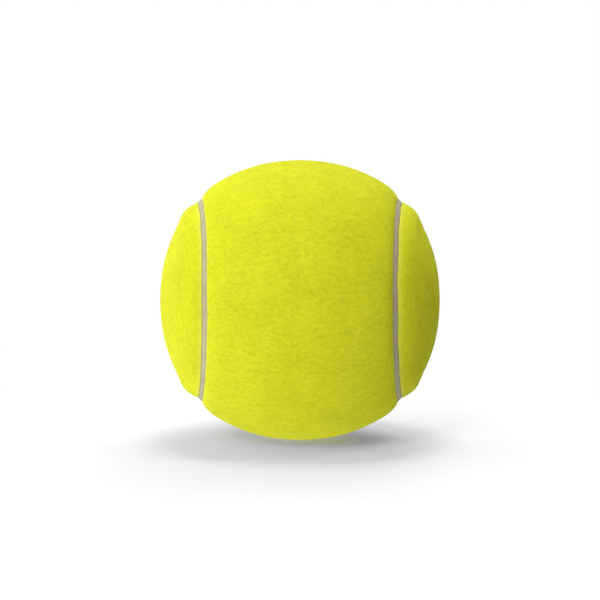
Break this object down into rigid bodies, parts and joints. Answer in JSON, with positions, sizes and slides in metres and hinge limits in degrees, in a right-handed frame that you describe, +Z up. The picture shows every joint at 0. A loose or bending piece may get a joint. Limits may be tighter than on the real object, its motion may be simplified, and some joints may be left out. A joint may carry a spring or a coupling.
{
  "type": "tennis ball",
  "caption": "Pressurised tennis ball: a hollow rubber core, dog-bone felt panels around it and the rubber seam that fills the gap between them.",
  "frame": {"origin": "centre of the ball", "axes": "+Z up; Y runs through the waists of both felt panels. Panel A's waist faces -Y and stands upright, with its ends over the top and bottom. Panel B's waist faces +Y and lies level, with its ends at +X and -X. The joint of the core's half shells lies in the plane Z = 0"},
  "size_m": [0.0656, 0.0654, 0.0656],
  "materials": {
    "felt": "matte",
    "seam_rubber": "matte",
    "core_rubber": "matte",
    "rubber_cement": "satin"
  },
  "bodies": {
    "root": {"core_half_upper": "core_rubber", "core_half_lower": "core_rubber", "core_joint_cement": "rubber_cement", "core_cement_coat": "rubber_cement", "felt_back_coat_a": "rubber_cement", "felt_back_coat_b": "rubber_cement", "felt_panel_a": "felt", "felt_panel_b": "felt", "seam_rubber": "seam_rubber"}
  },
  "joints": []
}
